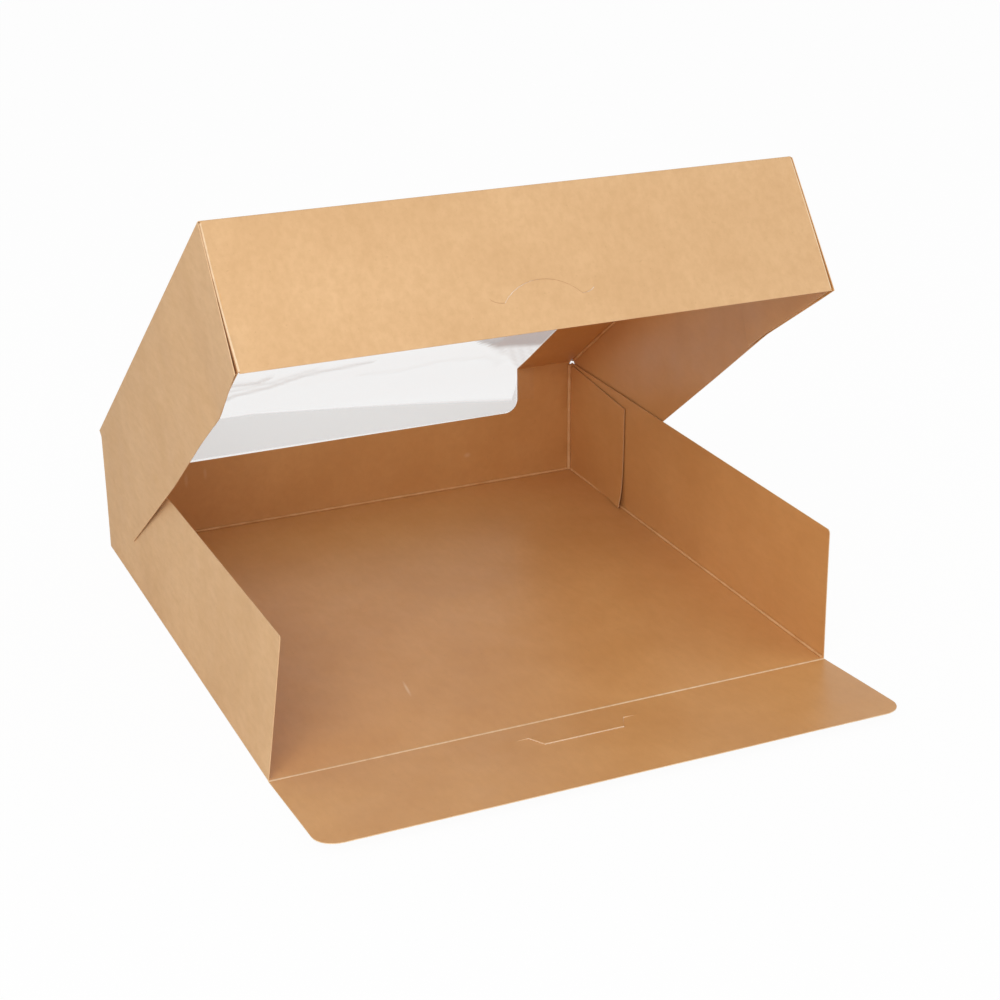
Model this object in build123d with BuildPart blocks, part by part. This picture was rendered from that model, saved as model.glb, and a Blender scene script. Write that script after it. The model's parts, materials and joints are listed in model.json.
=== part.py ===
from build123d import *
import math
import os

# Window cake box of folded kraft board, standing open on its floor panel.
# Millimetres. Origin at the centre of the tray's underside, +X right, +Y to the hinge at the back, +Z up.

# Board and film
board = 0.45
fold_radius = 0.5
film = 0.15

# Tray
tray_width = 320.0
tray_depth = 320.0
tray_height = 78.0
wall_drop = 0.8
wall_corner = 2.0
hinge_relief = 2.5
left_wall_lean = 10.0
left_wall_mid_lean = 8.0
left_wall_tab_lean = 4.5
right_wall_lean = 1.0
lean_reach = 131.0

# Glued corner tabs of the tray and of the lid
tab_length = 79.0
tab_slope = 7.5
tab_gap = 1.0

# Lid
lid_open = 36.07
lid_side_clearance = 0.25
lid_front_clearance = 1.4
lid_lift = 1.0
lid_front_lean = 2.1
lid_back_setback = 20.0

# Front flap
flap_lift = 1.0
flap_setback = 0.2
flap_rest_angle = 4.35
flap_corner = 12.0

# Gaps at the two folds that work as hinges
fold_gap = 0.3
wall_to_flap = 0.25

# Window, and the film glued behind it
window_width = 240.0
window_front_strip = 40.0
window_drop = 30.0
window_corner = 9.0
film_overlap = 12.0
film_hinge_gap = 1.0

# Tongue cut in the flap
cut_width = 0.4
tongue_reach = 26.5
tongue_width = 45.0
tongue_taper = 4.5
tongue_step = 10.0
serif_length = 8.0

# Half-moon cut in the lid's front wall
tongue_grip = 3.0
tongue_clearance = 1.5
moon_height = 10.0
hook_flare = 7.5
hook_rise = 4.0

# Places that follow from the sizes
half_width = tray_width / 2
front_y = -tray_depth / 2
back_y = tray_depth / 2
tab_free_y = back_y - tab_length
wall_top = tray_height - wall_drop
window_sill = tray_height - window_drop
outer_fold = fold_radius + board
bend_lap = 4 * outer_fold

hinge_y = back_y - board / 2
flap_fold_y = front_y - board / 2 - wall_to_flap
flap_fold_z = board / 2
raised_flap_front = flap_fold_y - board / 2

lid_wall_height = tray_height - lid_lift
lid_half_width = half_width + lid_side_clearance + 2 * board
lid_depth = hinge_y - raised_flap_front + lid_front_clearance + board
lid_tab_free = lid_depth - tab_length
corner_notch = 2 * outer_fold
skin = board / 2

flap_length = tray_height - flap_lift
serif_reach = tongue_reach - tongue_step
serif_root = tongue_width / 2 + tongue_taper
serif_end = serif_root + serif_length

moon_side = (tongue_width - tongue_grip) / 2
moon_top = tray_height - tongue_reach - tongue_clearance
moon_foot = moon_top + moon_height
hook_end = moon_side + hook_flare
hook_middle = (moon_side + hook_end) / 2

# The lid is drawn closed, and then turned about this axis
hinge = Vector(0, hinge_y, tray_height)
hinge_axis = Axis(hinge, (-1, 0, 0))
lean = math.radians(lid_front_lean)
lid_top_plane = Plane(origin=hinge)
lid_side_plane = Plane(origin=hinge, x_dir=(0, -1, 0), z_dir=(1, 0, 0))
lid_end_plane = Plane(origin=hinge - (0, fold_gap, 0), x_dir=(1, 0, 0), z_dir=(0, -1, 0))
lid_front_plane = Plane(
    origin=hinge + (0, -lid_depth, skin),
    x_dir=(1, 0, 0),
    z_dir=(0, -math.cos(lean), math.sin(lean)),
)


def lean_at(side, reach):
    """How far a side wall's top leans inwards, at this distance from the back."""
    if side > 0:
        return right_wall_lean * reach / tray_depth
    if reach <= tab_length:
        return left_wall_tab_lean * reach / tab_length
    if reach <= lean_reach:
        share = (reach - tab_length) / (lean_reach - tab_length)
        return left_wall_tab_lean + share * (left_wall_mid_lean - left_wall_tab_lean)
    share = (reach - lean_reach) / (tray_depth - lean_reach)
    return left_wall_mid_lean + share * (left_wall_lean - left_wall_mid_lean)


def front_face(down):
    """How far in front of the hinge the lid's leaning front wall has its outer face."""
    return lid_depth + (down + skin) * math.tan(lean)


# Corner tabs of the back wall, half sunk in the side walls that they are glued to
with BuildPart() as tray_tabs:
    for side in (-1, 1):
        for reach in (board / 2, tab_length):
            slope = lean_at(side, reach) / wall_top
            low = board + tab_gap
            glued_face = half_width - board / 2
            free_face = half_width - 2 * board
            with BuildSketch(Plane.XZ.offset(reach - back_y)):
                with BuildLine():
                    Polyline(
                        (side * (glued_face - slope * low), low),
                        (side * (glued_face - slope * wall_top), wall_top),
                        (side * (free_face - slope * wall_top), wall_top),
                        (side * (free_face - slope * low), low),
                        close=True,
                    )
                make_face()
        loft(ruled=True)
    # The top edge slopes down to the free end
    with BuildSketch(Plane.YZ):
        with BuildLine():
            Polyline(
                (back_y, wall_top - tab_gap),
                (tab_free_y, wall_top - tab_slope),
                (front_y, wall_top - tab_slope),
                (front_y, 2 * tray_height),
                (back_y, 2 * tray_height),
                close=True,
            )
        make_face()
    extrude(amount=tray_width, both=True, mode=Mode.SUBTRACT)

# Tray: floor and side walls as one bent strip, then the back wall and its tabs
with BuildPart() as tray:
    for reach in (0, tab_length, lean_reach, tray_depth):
        left_x = -half_width + lean_at(-1, reach)
        right_x = half_width - lean_at(1, reach)
        with BuildSketch(Plane.XZ.offset(reach - back_y)):
            with BuildLine():
                FilletPolyline(
                    (left_x, wall_top),
                    (-half_width, 0),
                    (half_width, 0),
                    (right_x, wall_top),
                    radius=outer_fold,
                )
                Line((right_x, wall_top), (right_x - board, wall_top))
                FilletPolyline(
                    (right_x - board, wall_top),
                    (half_width - board, board),
                    (-half_width + board, board),
                    (left_x + board, wall_top),
                    radius=fold_radius,
                )
                Line((left_x + board, wall_top), (left_x, wall_top))
            make_face()
    loft(ruled=True)

    # Side outline: blunt front corners, a relief at the hinge, a round fold at the back
    with BuildSketch(Plane.YZ.offset(-half_width)):
        with BuildLine():
            Line((front_y, 0), (back_y - outer_fold, 0))
            RadiusArc((back_y - outer_fold, 0), (back_y, outer_fold), -outer_fold)
            Polyline(
                (back_y, outer_fold),
                (back_y, wall_top - hinge_relief),
                (back_y - hinge_relief, wall_top),
                (front_y + wall_corner, wall_top),
            )
            RadiusArc(
                (front_y + wall_corner, wall_top), (front_y, wall_top - wall_corner), -wall_corner
            )
            Line((front_y, wall_top - wall_corner), (front_y, 0))
        make_face()
    extrude(amount=tray_width, mode=Mode.INTERSECT)

    # Back wall, bent up from the floor
    with BuildSketch(Plane.YZ):
        with BuildLine():
            FilletPolyline(
                (back_y - bend_lap, 0), (back_y, 0), (back_y, tray_height - fold_gap), radius=outer_fold
            )
            Line((back_y, tray_height - fold_gap), (back_y - board, tray_height - fold_gap))
            FilletPolyline(
                (back_y - board, tray_height - fold_gap),
                (back_y - board, board),
                (back_y - bend_lap, board),
                radius=fold_radius,
            )
            Line((back_y - bend_lap, board), (back_y - bend_lap, 0))
        make_face()
    extrude(amount=half_width - board / 2, both=True)
    add(tray_tabs.part)

    # Lower end of the window
    with BuildSketch(Plane.XZ.offset(-back_y)):
        with Locations((0, window_sill)):
            RectangleRounded(
                window_width, tray_height, window_corner, align=(Align.CENTER, Align.MIN)
            )
    extrude(amount=board, mode=Mode.SUBTRACT)
tray.part.label = "tray"

# Lid: top and side walls as one bent strip, then the front wall and its tabs
with BuildPart() as closed_lid:
    with BuildSketch(lid_end_plane):
        with BuildLine():
            FilletPolyline(
                (-lid_half_width, -lid_wall_height),
                (-lid_half_width, skin),
                (lid_half_width, skin),
                (lid_half_width, -lid_wall_height),
                radius=outer_fold,
            )
            Line((lid_half_width, -lid_wall_height), (lid_half_width - board, -lid_wall_height))
            FilletPolyline(
                (lid_half_width - board, -lid_wall_height),
                (lid_half_width - board, -skin),
                (-lid_half_width + board, -skin),
                (-lid_half_width + board, -lid_wall_height),
                radius=fold_radius,
            )
            Line((-lid_half_width + board, -lid_wall_height), (-lid_half_width, -lid_wall_height))
        make_face()
    extrude(amount=front_face(lid_wall_height))

    # Side outline: leaning front edge, slanted back edge with a relief at the hinge
    with BuildSketch(lid_side_plane.offset(-2 * lid_half_width)):
        with BuildLine():
            Polyline(
                (fold_gap, -skin - board),
                (lid_depth - outer_fold - board, -skin - board),
                (front_face(corner_notch), corner_notch),
                (front_face(lid_wall_height), lid_wall_height),
                (lid_back_setback, lid_wall_height),
                (hinge_relief, outer_fold),
                (fold_gap, skin),
                close=True,
            )
        make_face()
    extrude(amount=4 * lid_half_width, mode=Mode.INTERSECT)

    # Front fold, which stops short of the side folds
    with BuildSketch(lid_side_plane):
        board_along = board / math.cos(lean)
        with BuildLine():
            FilletPolyline(
                (lid_depth - bend_lap, -skin),
                (lid_depth, -skin),
                (front_face(bend_lap), bend_lap),
                radius=outer_fold,
            )
            Line((front_face(bend_lap), bend_lap), (front_face(bend_lap) - board_along, bend_lap))
            FilletPolyline(
                (front_face(bend_lap) - board_along, bend_lap),
                (front_face(skin) - board_along, skin),
                (lid_depth - bend_lap, skin),
                radius=fold_radius,
            )
            Line((lid_depth - bend_lap, skin), (lid_depth - bend_lap, -skin))
        make_face()
    extrude(amount=lid_half_width - corner_notch, both=True)

    # Front wall below the fold
    with BuildSketch(lid_side_plane):
        with BuildLine():
            Polyline(
                (front_face(corner_notch), corner_notch),
                (front_face(lid_wall_height), lid_wall_height),
                (front_face(lid_wall_height) - board_along, lid_wall_height),
                (front_face(corner_notch) - board_along, corner_notch),
                close=True,
            )
        make_face()
    extrude(amount=lid_half_width - board / 2, both=True)

    # Tabs of the front wall, glued inside the side walls
    for side in (-1, 1):
        with BuildSketch(lid_side_plane.offset(side * (lid_half_width - board))):
            with BuildLine():
                Polyline(
                    (front_face(skin + tab_gap) - board, skin + tab_gap),
                    (front_face(lid_wall_height) - board, lid_wall_height - tab_gap),
                    (lid_tab_free, lid_wall_height - tab_gap),
                    (lid_tab_free, skin + tab_slope),
                    close=True,
                )
            make_face()
        extrude(amount=-side * board)

    # Window, open to the hinge
    with BuildSketch(lid_top_plane.offset(skin)):
        with Locations((0, window_front_strip - lid_depth)):
            RectangleRounded(
                window_width, 2 * lid_depth, window_corner, align=(Align.CENTER, Align.MIN)
            )
    extrude(amount=-board, mode=Mode.SUBTRACT)

    # Half-moon cut that the flap's tongue locks into
    with BuildSketch(lid_front_plane):
        with BuildLine():
            ThreePointArc((-moon_side, -moon_foot), (0, -moon_top), (moon_side, -moon_foot))
            for side in (-1, 1):
                ThreePointArc(
                    (side * moon_side, -moon_foot),
                    (side * hook_middle, -moon_foot),
                    (side * hook_end, -moon_foot + hook_rise),
                )
        trace(line_width=cut_width)
    extrude(amount=2 * board, both=True, mode=Mode.SUBTRACT)

with BuildPart() as lid:
    add(closed_lid.part.rotate(hinge_axis, lid_open))
lid.part.label = "lid"

# Front flap, sprung a little off the table
flap_tilt = math.radians(flap_rest_angle)
flap_up = Vector(0, math.sin(flap_tilt), math.cos(flap_tilt))
flap_plane = Plane(
    origin=Vector(0, flap_fold_y, flap_fold_z) - flap_up * skin,
    x_dir=(1, 0, 0),
    z_dir=flap_up,
)
with BuildPart() as front_flap:
    with BuildSketch(flap_plane) as flap_outline:
        with Locations((0, -fold_gap)):
            Rectangle(
                tray_width - 2 * flap_setback, flap_length, align=(Align.CENTER, Align.MAX)
            )
        fillet(flap_outline.vertices().group_by(Axis.Y)[0], flap_corner)
        with BuildLine():
            Polyline(
                (-serif_end, -serif_reach),
                (-serif_root, -serif_reach),
                (-tongue_width / 2, -tongue_reach),
                (tongue_width / 2, -tongue_reach),
                (serif_root, -serif_reach),
                (serif_end, -serif_reach),
            )
        trace(line_width=cut_width, mode=Mode.SUBTRACT)
    extrude(amount=board)
front_flap.part.label = "front_flap"

# Window film, split at the hinge
with BuildPart() as closed_film:
    with BuildSketch(lid_top_plane.offset(-skin)):
        with Locations((0, -film_hinge_gap)):
            Rectangle(
                window_width + 2 * film_overlap,
                lid_depth - window_front_strip + film_overlap - film_hinge_gap,
                align=(Align.CENTER, Align.MAX),
            )
    extrude(amount=-film)

with BuildPart() as lid_window_film:
    add(closed_film.part.rotate(hinge_axis, lid_open))
lid_window_film.part.label = "lid_window_film"

with BuildPart() as back_window_film:
    with BuildSketch(Plane.XZ.offset(board - back_y)):
        with Locations((0, window_sill - film_overlap)):
            Rectangle(
                window_width + 2 * film_overlap,
                tray_height - film_hinge_gap - window_sill + film_overlap,
                align=(Align.CENTER, Align.MIN),
            )
    extrude(amount=film)
back_window_film.part.label = "back_window_film"

os.makedirs("parts", exist_ok=True)
export_step(tray.part, "parts/tray.step")
export_step(lid.part, "parts/lid.step")
export_step(front_flap.part, "parts/front_flap.step")
export_step(lid_window_film.part, "parts/lid_window_film.step")
export_step(back_window_film.part, "parts/back_window_film.step")
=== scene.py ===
import bpy
import bmesh
import json
import math
from mathutils import Matrix, Vector, noise


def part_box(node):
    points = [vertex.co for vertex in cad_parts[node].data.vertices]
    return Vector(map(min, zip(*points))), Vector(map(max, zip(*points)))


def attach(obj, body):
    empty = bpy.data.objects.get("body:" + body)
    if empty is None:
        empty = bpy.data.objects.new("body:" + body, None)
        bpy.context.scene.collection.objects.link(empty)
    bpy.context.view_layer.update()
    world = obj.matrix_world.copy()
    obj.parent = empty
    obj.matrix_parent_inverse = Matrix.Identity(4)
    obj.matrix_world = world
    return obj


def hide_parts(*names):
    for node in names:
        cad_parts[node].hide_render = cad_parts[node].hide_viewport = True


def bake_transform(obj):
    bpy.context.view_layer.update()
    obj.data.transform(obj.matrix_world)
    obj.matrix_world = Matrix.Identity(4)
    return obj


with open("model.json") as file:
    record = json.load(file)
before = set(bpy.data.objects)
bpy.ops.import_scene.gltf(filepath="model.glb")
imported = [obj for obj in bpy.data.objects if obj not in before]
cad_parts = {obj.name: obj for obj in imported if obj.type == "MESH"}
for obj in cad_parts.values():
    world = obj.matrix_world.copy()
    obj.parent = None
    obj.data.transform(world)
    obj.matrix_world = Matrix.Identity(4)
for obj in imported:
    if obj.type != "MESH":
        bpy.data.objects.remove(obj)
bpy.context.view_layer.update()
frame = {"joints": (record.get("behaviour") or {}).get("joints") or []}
print("frame loaded")

trayLow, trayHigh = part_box("tray")
joints = {j["name"]: j for j in frame["joints"]}
hinge = Vector(joints["lid_hinge"]["pos_m"])
lidOpen = math.radians(-joints["lid_hinge"]["range_deg"][0])
flapAxis = Vector(joints["front_flap_fold"]["pos_m"])
flapTilt = math.radians(-joints["front_flap_fold"]["range_deg"][0])
lidWay = Vector((0, -math.cos(lidOpen), math.sin(lidOpen)))  # along the open lid's top, away from the hinge
lidNormal = Vector((0, math.sin(lidOpen), math.cos(lidOpen)))  # and out of it

quarter = math.radians(90)
tiny = 1e-6  # places closer than this are one place
nearly = 1e-5  # the same, for places that come out of a spin

# metres, as in the frame
card = {
    "thickness": 0.00045,
    "fold": 0.00095,  # outer radius of a fold
    "foldSteps": 5,
    "cell": 0.0085,  # how finely a panel is sliced before it is warped
    "slack": 0.00005,  # between a tab and the wall it is glued to
    "sharp": math.radians(35),
    "warp": 0.00035,
    "warpFade": 0.03,  # how near a fold a flat panel starts to warp
    "warpSize": 11.0,
    "wallWarp": 0.00021,
    "frontWarp": 0.000392,
}
seeds = {
    "traySide": 3,
    "trayBack": 5,
    "trayFloor": 7,
    "lidSide": 11,
    "lidTop": 13,
    "lidFront": 17,
    "flap": 19,
}
# ridges that the creases raise on the inside
bead = {
    "floor": {-1: 0.0006, 1: 0.0008},  # radius at the left and at the right
    "back": 0.0008,
    "corner": 0.0012,
    "lid": 0.0008,
    "sink": 0.00055,  # how much nearer its fold it lies than one that only touches
    "sides": 12,
    "end": 0.001,  # how far it stops short of the board's edge
}
# the opening, which runs from the lid's top across the hinge into the back wall
window = {
    "half": 0.120,
    "sill": 0.048,
    "frontStrip": 0.040,
    "corner": 0.009,
    "cornerSteps": 8,
}

camera = {
    "focal": 71.566,
    "sensor": 36.0,
    "clip": (0.05, 50),
    "azimuth": -23.815,
    "elevation": 22.061,
    "roll": -0.445,
    "place": (-0.39905, -0.98627, 0.49381),
}


def placeCamera():
    a, e, r = (math.radians(camera[k]) for k in ("azimuth", "elevation", "roll"))
    back = Vector((math.sin(a) * math.cos(e), -math.cos(a) * math.cos(e), math.sin(e)))
    right = (-back).cross(Vector((0, 0, 1))).normalized()
    up = right.cross(-back)
    rolledRight = right * math.cos(r) + up * math.sin(r)
    rolledUp = up * math.cos(r) - right * math.sin(r)
    data = bpy.data.cameras.new("camera")
    data.lens, data.sensor_width = camera["focal"], camera["sensor"]
    data.clip_start, data.clip_end = camera["clip"]
    obj = bpy.data.objects.new("camera", data)
    turned = Matrix((rolledRight, rolledUp, back)).transposed().to_4x4()
    obj.matrix_world = Matrix.Translation(camera["place"]) @ turned
    bpy.context.scene.collection.objects.link(obj)
    bpy.context.scene.camera = obj


placeCamera()
print("camera placed")


# Materials

def tone(r, g, b):
    # a colour as a painter picks it, from 0 to 255, made linear
    def linear(c):
        c = c / 255
        return c / 12.92 if c <= 0.04045 else ((c + 0.055) / 1.055) ** 2.4
    return (linear(r), linear(g), linear(b), 1.0)


def newMaterial(name):
    mat = bpy.data.materials.new(name)
    mat.use_nodes = True
    tree = mat.node_tree
    return mat, tree, tree.nodes["Principled BSDF"]


def addNode(tree, kind, inputs=None, **settings):
    node = tree.nodes.new(kind)
    for key, value in settings.items():
        setattr(node, key, value)
    for key, value in (inputs or {}).items():
        node.inputs[key].default_value = value
    return node


def addNoise(tree, coords, layer, stretch=None):
    if stretch:
        mapping = addNode(tree, "ShaderNodeMapping", {"Scale": stretch})
        tree.links.new(coords, mapping.inputs["Vector"])
        coords = mapping.outputs["Vector"]
    values = {"Scale": layer["scale"], "Detail": layer["detail"], "Roughness": layer["rough"]}
    made = addNode(tree, "ShaderNodeTexNoise", values)
    tree.links.new(coords, made.inputs["Vector"])
    return made.outputs["Fac"]


def addRange(tree, value, low, high, toLow, toHigh):
    made = addNode(
        tree,
        "ShaderNodeMapRange",
        {"From Min": low, "From Max": high, "To Min": toLow, "To Max": toHigh},
    )
    tree.links.new(value, made.inputs["Value"])
    return made.outputs["Result"]


def addLayer(tree, coords, layer, toLow, toHigh, stretch=None):
    return addRange(tree, addNoise(tree, coords, layer, stretch), *layer["span"], toLow, toHigh)


def addMix(tree, share, colour, other):
    made = addNode(tree, "ShaderNodeMix", data_type="RGBA")
    tree.links.new(share, made.inputs[0])
    for socket, value in ((made.inputs[6], colour), (made.inputs[7], other)):
        if isinstance(value, tuple):
            socket.default_value = value
        else:
            tree.links.new(value, socket)
    return made.outputs[2]


scuffHeart = 0.3  # share of a scuff's size that is rubbed evenly


def addScuff(tree, coords, colour, scuff):
    # a rubbed place, as an ellipsoid round a point of the board
    turned = (0, 0, math.radians(scuff["turn"]))
    mapping = addNode(
        tree,
        "ShaderNodeMapping",
        {"Location": scuff["place"], "Rotation": turned, "Scale": scuff["size"]},
        vector_type="TEXTURE",
    )
    tree.links.new(coords, mapping.inputs["Vector"])
    far = addNode(tree, "ShaderNodeVectorMath", operation="LENGTH")
    tree.links.new(mapping.outputs["Vector"], far.inputs[0])
    share = addRange(tree, far.outputs["Value"], scuffHeart, 1.0, scuff["share"], 0)
    return addMix(tree, share, colour, scuff["tone"])


# span is the part of the noise that shows
kraftNoise = {
    "cloud": {"detail": 4, "rough": 0.6, "span": (0.3, 0.7)},
    "fibre": {"scale": 260, "detail": 3, "rough": 0.65, "span": (0.35, 0.68)},
    "fleck": {"scale": 620, "detail": 2, "rough": 0.5, "span": (0.69, 0.76)},
    "sheen": {"scale": 45, "detail": 3, "rough": 0.6, "span": (0.3, 0.7)},
    "grain": {"scale": 900, "detail": 3, "rough": 0.6},
}
sheenSpread = 0.05
grainHeight = 0.0001


def kraft(name, look):
    mat, tree, shader = newMaterial(name)
    coords = addNode(tree, "ShaderNodeTexCoord").outputs["Object"]
    clouds = dict(kraftNoise["cloud"], scale=look["cloud"])
    colour = addMix(tree, addLayer(tree, coords, clouds, 0, 1), look["dark"], look["light"])
    # pulp fibres, drawn out along the board's grain
    fibre = addLayer(tree, coords, kraftNoise["fibre"], 0, look["fibre"], look["grain"])
    colour = addMix(tree, fibre, colour, look["fibreTone"])
    fleck = addLayer(tree, coords, kraftNoise["fleck"], 0, look["fleck"])
    colour = addMix(tree, fleck, colour, look["fleckTone"])
    for scuff in look["scuffs"]:
        colour = addScuff(tree, coords, colour, scuff)
    tree.links.new(colour, shader.inputs["Base Color"])
    smooth, dull = look["rough"] - sheenSpread, look["rough"] + sheenSpread
    tree.links.new(addLayer(tree, coords, kraftNoise["sheen"], smooth, dull), shader.inputs["Roughness"])
    shader.inputs["Specular IOR Level"].default_value = look["gloss"]
    bump = addNode(tree, "ShaderNodeBump", {"Strength": look["bump"], "Distance": grainHeight})
    tree.links.new(addNoise(tree, coords, kraftNoise["grain"], look["grain"]), bump.inputs["Height"])
    tree.links.new(bump.outputs["Normal"], shader.inputs["Normal"])
    return mat


outsideLook = {
    "cloud": 16,
    "dark": tone(216, 173, 125),
    "light": tone(226, 184, 136),
    "fibreTone": tone(198, 154, 105),
    "fibre": 0.3,
    "fleckTone": tone(160, 112, 68),
    "fleck": 0.18,
    "grain": (1.0, 0.35, 1.0),
    "rough": 0.62,
    "gloss": 0.35,
    "bump": 0.25,
    "scuffs": (),
}
rubbed = tone(232, 198, 156)
floorScratch = {
    "place": (-0.0624, -0.0982, 0.0005),
    "turn": -7.6,
    "size": (0.0011, 0.0105, 0.003),
    "share": 0.75,
    "tone": rubbed,
}
backWallScuffs = [
    {"place": place, "turn": 0, "size": size, "share": share, "tone": rubbed}
    for place, size, share in (
        ((0.0828, 0.1595, 0.0228), (0.003, 0.003, 0.0022), 0.4),
        ((-0.1093, 0.1595, 0.0368), (0.0016, 0.003, 0.006), 0.3),
        ((-0.0968, 0.1595, 0.0395), (0.0014, 0.003, 0.005), 0.3),
    )
]
insideLook = {
    "cloud": 16,
    "dark": tone(208, 150, 88),
    "light": tone(219, 163, 101),
    "fibreTone": tone(196, 138, 78),
    "fibre": 0.24,
    "fleckTone": tone(150, 98, 52),
    "fleck": 0.18,
    "grain": (1.0, 0.35, 1.0),
    "rough": 0.38,
    "gloss": 0.85,
    "bump": 0.2,
    "scuffs": (floorScratch, *backWallScuffs),
}
cutLook = dict(outsideLook, dark=tone(220, 180, 136), light=tone(236, 200, 158), rough=0.85, gloss=0.2)
# paler crushed fibres along creases and the flap's cut edge, and a painted highlight on the lid's rounded
# front corner folds
creaseAndHighlightLook = dict(outsideLook, dark=tone(234, 198, 154), light=tone(248, 222, 186), rough=0.6, gloss=0.3)
# a crease on the inside, rubbed pale in some places and not in others
beadLook = dict(insideLook, cloud=70, rough=0.6, gloss=0.3)
beadLook.update(dark=tone(212, 158, 100), light=tone(238, 194, 142))

outside = kraft("kraft_outside", outsideLook)
inside = kraft("kraft_inside", insideLook)
cutEdge = kraft("kraft_cut_edge", cutLook)
creaseAndHighlight = kraft("kraft_crease_and_highlight", creaseAndHighlightLook)
ridge = kraft("kraft_ridge", beadLook)
boardFaces = [outside, inside, cutEdge, creaseAndHighlight, ridge]


filmLook = {
    # darkened and cooled, so that where the veil is thick it paints the shaded backdrop grey
    "clear": (0.70, 0.79, 0.83, 1),
    "paintedReflection": (0.38, 0.28, 0.26, 1),  # painted reflection of the board, where the sheet buckles
    "rough": 0.12,
    "gloss": 0.5,
}


def clearFilm():
    # the sheet carries, point by point, its haze with painted shade and a painted reflection of the board
    mat, tree, shader = newMaterial("window_film")
    veil = addNode(tree, "ShaderNodeAttribute", attribute_name="veil").outputs["Fac"]
    paintedReflection = addNode(tree, "ShaderNodeAttribute", attribute_name="paintedReflection").outputs["Fac"]
    tree.links.new(addMix(tree, paintedReflection, filmLook["clear"], filmLook["paintedReflection"]), shader.inputs["Base Color"])
    tree.links.new(veil, shader.inputs["Alpha"])
    shader.inputs["Roughness"].default_value = filmLook["rough"]
    shader.inputs["Specular IOR Level"].default_value = filmLook["gloss"]
    mat.surface_render_method = "BLENDED"
    return mat


filmFace = clearFilm()
print("materials made")


# Folding a sheet of board

def vertsOf(edges):
    return list({v for e in edges for v in e.verts})


def foldOver(bm, edges, centre, axis, angle):
    made = bmesh.ops.spin(
        bm, geom=edges + vertsOf(edges), cent=centre, axis=axis, angle=angle,
        steps=card["foldSteps"], use_duplicate=False,
    )
    return [g for g in made["geom_last"] if isinstance(g, bmesh.types.BMEdge)]


def carryOn(bm, edges, shift):
    made = bmesh.ops.extrude_edge_only(bm, edges=edges)["geom"]
    fresh = {g for g in made if isinstance(g, bmesh.types.BMVert)}
    bmesh.ops.translate(bm, verts=list(fresh), vec=shift)
    return [e for e in bm.edges if e.verts[0] in fresh and e.verts[1] in fresh]


def roundCorner(bm, verts, radius, segments):
    bmesh.ops.bevel(
        bm, geom=verts, offset=radius, segments=segments, profile=0.5, affect="VERTICES", material=-1
    )


def addFace(bm, points):
    return bm.faces.new([p if isinstance(p, bmesh.types.BMVert) else bm.verts.new(p) for p in points])


def edgesAt(edges, axis, place):
    return [e for e in edges if all(abs(v.co[axis] - place) < tiny for v in e.verts)]


def slicePanels(bm, axis, low, high):
    count = round((high - low) / card["cell"])
    for i in range(1, count):
        place, normal = Vector((0, 0, 0)), Vector((0, 0, 0))
        place[axis] = low + (high - low) * i / count
        normal[axis] = 1
        everything = bm.verts[:] + bm.edges[:] + bm.faces[:]
        bmesh.ops.bisect_plane(bm, geom=everything, dist=tiny, plane_co=place, plane_no=normal)


def faceOut(bm, onPanel, normal):
    # the sheet's outer skin points away from the box
    bmesh.ops.recalc_face_normals(bm, faces=bm.faces)
    seen = [f for f in bm.faces if onPanel(f.calc_center_median())]
    seen[0].normal_update()
    if seen[0].normal.dot(Vector(normal)) < 0:
        bmesh.ops.reverse_faces(bm, faces=bm.faces)


def ripple(point, panel):
    shift = Vector((seeds[panel], seeds[panel] * 2, 0))
    return noise.noise(Vector(point) * card["warpSize"] + shift)


def flatWarp(point, panel, edge):
    # of a panel that is held at its folds, at this distance from the nearest one
    return card["warp"] * (1 + ripple(point, panel)) * min(1, max(0, edge) / card["warpFade"])


def wallWarp(point, panel, amount, rise):
    # of a wall, most at half its height
    return amount * (1 + ripple(point, panel)) * math.sin(math.pi * min(1, rise))


def along(knots, place):
    for (a, valueA), (b, valueB) in zip(knots, knots[1:]):
        if place <= b:
            share = max(0.0, (place - a) / (b - a))
            return valueA + share * (valueB - valueA)
    return knots[-1][1]


def tabPlace(side):
    # the outer skin of a tab inside a wall at this distance from the middle, and where its fold starts
    outer = side - card["thickness"] - card["slack"]
    return outer, outer - card["fold"]


def beadInset(radius):
    # from the outer skins to the middle of a bead, so that it bears on both panels
    return card["fold"] + radius - bead["sink"]


def addBead(bm, start, end, radius):
    start, end = Vector(start), Vector(end)
    turn = (end - start).to_track_quat("Z", "Y").to_matrix().to_4x4()
    made = bmesh.ops.create_cone(
        bm, segments=bead["sides"], radius1=radius, radius2=radius, depth=(end - start).length,
        cap_ends=True, matrix=Matrix.Translation((start + end) / 2) @ turn,
    )
    for face in {f for v in made["verts"] for f in v.link_faces}:
        face.material_index = boardFaces.index(ridge)
        face.smooth = len(face.verts) == 4


def thicken(obj, rim):
    # gives the outer skin its thickness, inwards, and its inner and cut faces their own materials
    solid = obj.modifiers.new("thickness", "SOLIDIFY")
    solid.thickness = card["thickness"]
    solid.offset = -1
    solid.use_even_offset = True
    solid.use_quality_normals = True
    solid.material_offset = boardFaces.index(inside)
    solid.material_offset_rim = boardFaces.index(rim)
    depsgraph = bpy.context.evaluated_depsgraph_get()
    thick = bpy.data.meshes.new_from_object(
        obj.evaluated_get(depsgraph), preserve_all_data_layers=True, depsgraph=depsgraph
    )
    obj.modifiers.clear()
    thin, obj.data = obj.data, thick
    bpy.data.meshes.remove(thin)
    thick.name = obj.name


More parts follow.
